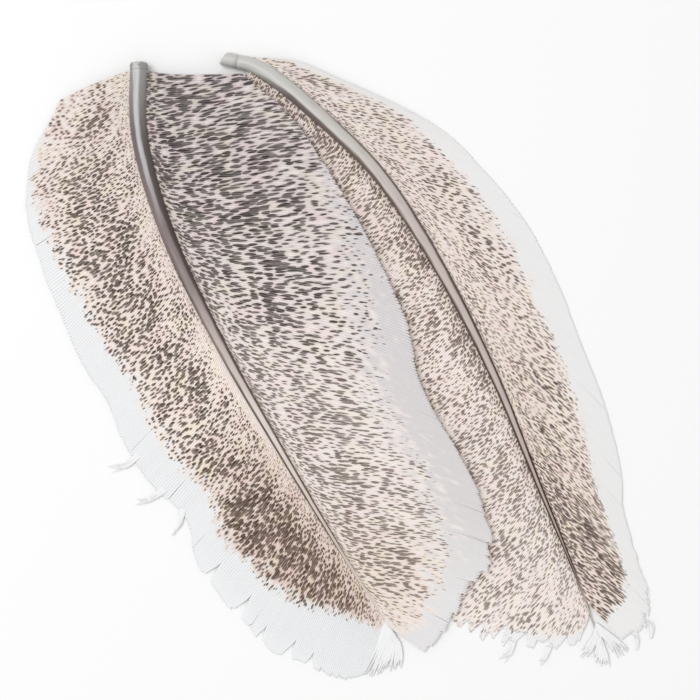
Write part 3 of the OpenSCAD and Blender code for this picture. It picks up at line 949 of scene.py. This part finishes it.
def upper_inner_material():
    return vane_material(
        "upper_inner_barbs", (1.4, 2.7, 0.38),
        ground=[
            (0, (188, 178, 178)), (0.15, (205, 194, 193)), (0.3, (226, 216, 213)), (0.45, (242, 232, 227)),
            (0.7, (244, 234, 229)), (0.85, (240, 225, 212)), (1, (242, 231, 221)),
        ],
        shaded=[(0, (186, 176, 174)), (0.3, (196, 182, 176)), (0.5, (204, 190, 183)), (1, (226, 212, 200))],
        # Painted shade: the margin is grey-lilac where it lies over the lower feather, for the darker feather
        # seen through it
        plain=[
            (0, (204, 200, 204)), (0.35, (217, 212, 213)), (0.65, (220, 216, 216)), (0.85, (232, 230, 230)),
        ],
        flecks=[
            (0, (44, 34, 36)), (0.28, (38, 26, 24)), (0.38, (72, 57, 53)), (0.5, (112, 99, 95)),
            (0.7, (116, 99, 88)), (1, (124, 108, 95)),
        ],
        shaded_flecks=[(0, (60, 50, 52)), (0.3, (84, 70, 66)), (0.55, (120, 106, 100)), (1, (150, 134, 122))])


def lower_outer_material():
    return vane_material(
        "lower_outer_barbs", (1.5, 2.3, 0.55),
        ground=[
            (0, (224, 212, 206)), (0.15, (236, 223, 216)), (0.4, (243, 228, 219)), (0.6, (239, 222, 209)),
            (0.8, (238, 219, 206)), (1, (238, 223, 212)),
        ],
        shaded=[(0, (206, 196, 190)), (0.25, (208, 193, 186)), (0.5, (214, 199, 190)), (1, (210, 194, 183))],
        plain=[(0, (232, 229, 227)), (0.15, (240, 239, 239)), (1, (242, 241, 240))],
        flecks=[
            (0, (104, 86, 79)), (0.25, (74, 55, 46)), (0.5, (60, 41, 32)), (0.7, (54, 35, 26)),
            (0.9, (54, 36, 27)), (1, (86, 66, 56)),
        ],
        shaded_flecks=[(0, (120, 108, 104)), (0.5, (116, 100, 92)), (0.7, (74, 56, 46)), (1, (80, 62, 52))])


def lower_inner_material():
    return vane_material(
        "lower_inner_barbs", (1.2, 1.8, 0.45),
        ground=[(0, (228, 212, 204)), (0.3, (238, 224, 216)), (0.5, (244, 231, 224)), (1, (247, 237, 231))],
        shaded=[(0, (214, 200, 190)), (0.25, (210, 195, 185)), (0.5, (220, 205, 197)), (1, (230, 216, 208))],
        plain=[(0, (238, 238, 239)), (1, (238, 238, 239))],
        flecks=[(0, (98, 80, 72)), (0.5, (116, 98, 88)), (0.9, (140, 126, 118)), (1, (150, 138, 131))],
        shaded_flecks=[(0, (92, 76, 68)), (0.5, (84, 67, 58)), (1, (92, 75, 66))])


def plain_material():
    pale = [(0, (241, 241, 242))]
    return vane_material("plain_barbs", (2.0, 2.0, 0.0), pale, pale, pale, pale, pale)


def upper_horn_material():
    return horn_material(
        "upper_horn",
        middle=[
            (0, (194, 192, 192)), (0.15, (172, 168, 172)), (0.25, (116, 102, 101)), (0.35, (132, 118, 115)),
            (0.45, (184, 170, 164)), (0.6, (222, 212, 205)), (0.8, (208, 193, 181)), (1, (226, 211, 200)),
        ],
        left=[
            (0, (150, 147, 145)), (0.1, (106, 95, 94)), (0.25, (128, 112, 109)), (0.35, (92, 77, 72)),
            (0.45, (128, 112, 103)), (0.56, (84, 68, 60)), (0.8, (88, 69, 58)), (0.87, (200, 184, 171)),
        ],
        right=[
            (0, (154, 152, 149)), (0.12, (90, 82, 80)), (0.27, (74, 60, 57)), (0.5, (92, 78, 74)),
            (0.65, (100, 84, 76)), (0.8, (104, 86, 75)), (0.87, (200, 184, 171)),
        ],
        left_start=[(0, 0.6), (0.06, 0.38), (0.2, 0.25), (0.32, 0.6), (0.6, 0.42), (1, 0.4)],
        right_start=[(0, 0.1), (0.2, 0.22), (0.35, 0.48), (0.5, 0.5), (0.7, 0.42), (1, 0.4)])


def lower_horn_material():
    return horn_material(
        "lower_horn",
        middle=[
            (0, (198, 197, 193)), (0.2, (194, 189, 183)), (0.3, (192, 180, 175)), (0.6, (194, 178, 172)),
            (0.8, (182, 164, 154)), (0.88, (110, 94, 86)), (0.92, (190, 176, 166)), (1, (222, 218, 212)),
        ],
        right=[
            (0, (198, 197, 193)), (0.05, (180, 176, 172)), (0.15, (140, 131, 126)), (0.25, (96, 83, 75)),
            (0.5, (74, 57, 49)), (0.7, (54, 36, 29)), (0.86, (60, 42, 33)), (0.92, (190, 176, 166)),
        ],
        left=[
            (0, (198, 197, 193)), (0.05, (160, 154, 150)), (0.09, (110, 98, 97)), (0.2, (112, 97, 89)),
            (0.5, (84, 68, 60)), (0.7, (72, 54, 47)), (0.86, (60, 43, 35)), (0.92, (190, 176, 166)),
        ],
        right_start=[(0, 0.9), (0.15, 0.72), (0.4, 0.48), (0.65, 0.4), (0.8, 0.22)],
        left_start=[(0, 0.9), (0.08, 0.35), (0.22, 0.45), (0.32, 0.6), (0.65, 0.45), (0.8, 0.3)])


def build_feather(feather, outer, inner, horn, plain):
    """A feather from its two vanes' looks and materials, and its horn."""
    for side, (looks, material) in (("outer", outer), ("inner", inner)):
        build_vane(Vane(feather, side, looks), material, f"{feather.name}_{side}_vane")
    slot = f"{feather.name}_horn"
    build_shaft(feather, horn, slot)
    build_barrel(feather, horn, slot)
    build_fan(feather, plain)
    build_wisps(feather, plain)


def main():
    # The splits that the photo shows at the ends of two vanes
    notches = [(0.69, 0.86, 1.8), (0.745, 0.84, 2.6), (0.79, 0.9, 1.8), (0.84, 0.86, 2.6), (0.875, 0.88, 2.2)]
    torn = [(0.83, 0.88, 2.5), (0.87, 0.82, 2.2), (0.9, 0.86, 2.8), (0.94, 0.8, 2.4), (0.97, 0.75, 2.6)]
    plain = plain_material()
    build_feather(
        Feather("lower"),
        (vane_looks(paint_lower_outer, fringe=0.04), lower_outer_material()),
        (vane_looks(paint_lower_inner, torn, fringe=0.09), lower_inner_material()),
        lower_horn_material(), plain)
    build_feather(
        Feather("upper"),
        (vane_looks(paint_upper_outer, notches, corner=0.05, bulge=0.5), upper_outer_material()),
        (vane_looks(paint_upper_inner, bulge=-1.5, fringe=0.03), upper_inner_material()),
        upper_horn_material(), plain)
    foam = pith_material()
    for name in ("upper_pith", "lower_pith"):
        frame["nodes"][name].material_slots[0].material = foam

    add_floor()
    add_world(ROOM_BRIGHTNESS)
    add_light("overhead", LAMP_PLACE, LAMP_SIZE, LAMP_POWER)
    add_camera()
    bpy.context.scene.view_settings.view_transform = "Standard"


main()
